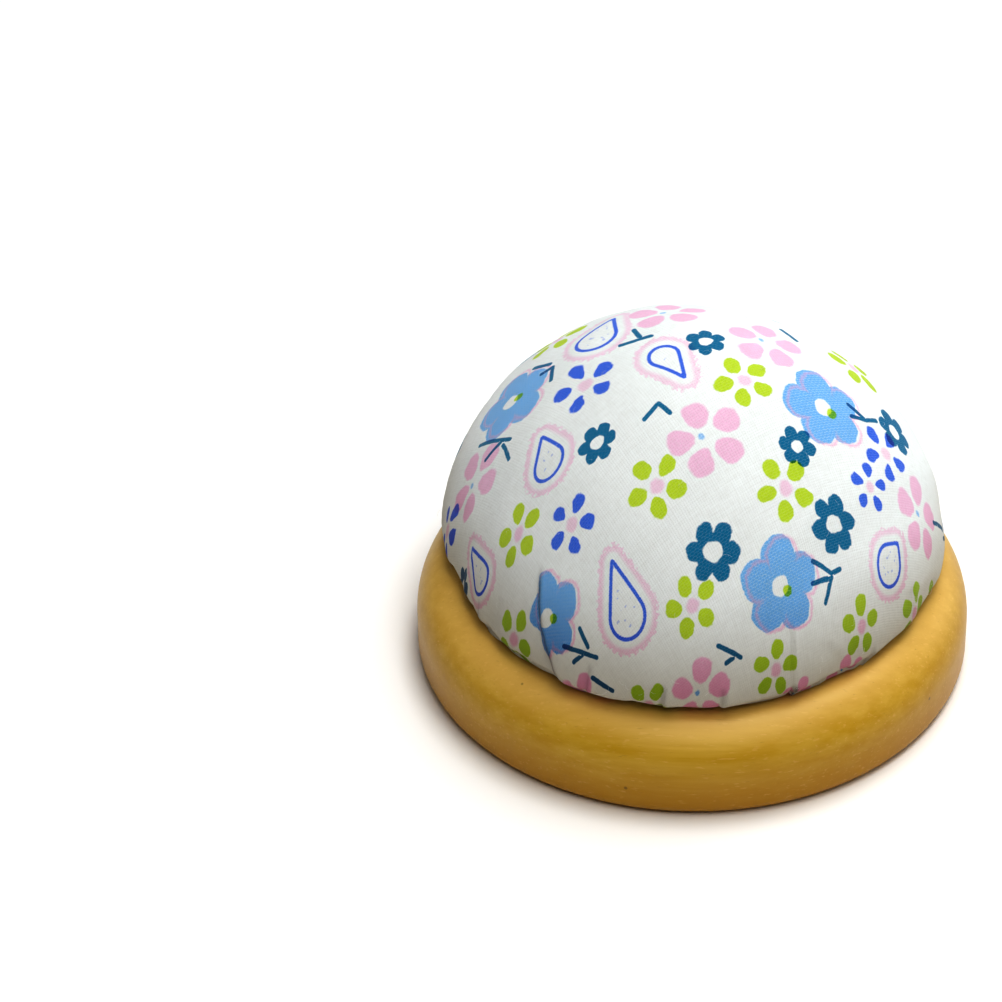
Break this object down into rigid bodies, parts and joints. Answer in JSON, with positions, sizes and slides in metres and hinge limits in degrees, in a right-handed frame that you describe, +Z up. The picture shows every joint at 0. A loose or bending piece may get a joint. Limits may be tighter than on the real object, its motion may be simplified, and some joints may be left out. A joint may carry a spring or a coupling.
{
  "type": "pin cushion",
  "caption": "Round dome pin cushion in printed cotton, screwed into a turned wooden base, for holding sewing pins and needles.",
  "frame": {"origin": "centre of the wooden base's flat underside, on the turning axis", "axes": "+Z up along the turning axis, from the base through the crown of the cushion; +X and +Y lie in the underside, and the front of the print faces -Y"},
  "size_m": [0.08, 0.08, 0.05],
  "materials": {
    "lacquered_wood": "satin lacquer",
    "printed_cotton": "plain-weave cotton, small flower print",
    "fibre_filling": "packed fibre",
    "plywood_board": "raw plywood",
    "sewing_thread": "twisted thread",
    "zinc_screw": "zinc plated",
    "zinc_washer": "zinc plated"
  },
  "bodies": {
    "root": {"wooden_base": "lacquered_wood", "cushion_cover": "printed_cotton", "cushion_filling": "fibre_filling", "backing_disc": "plywood_board", "gathering_thread": "sewing_thread", "fixing_screw": "zinc_screw", "screw_washer": "zinc_washer"}
  },
  "joints": []
}
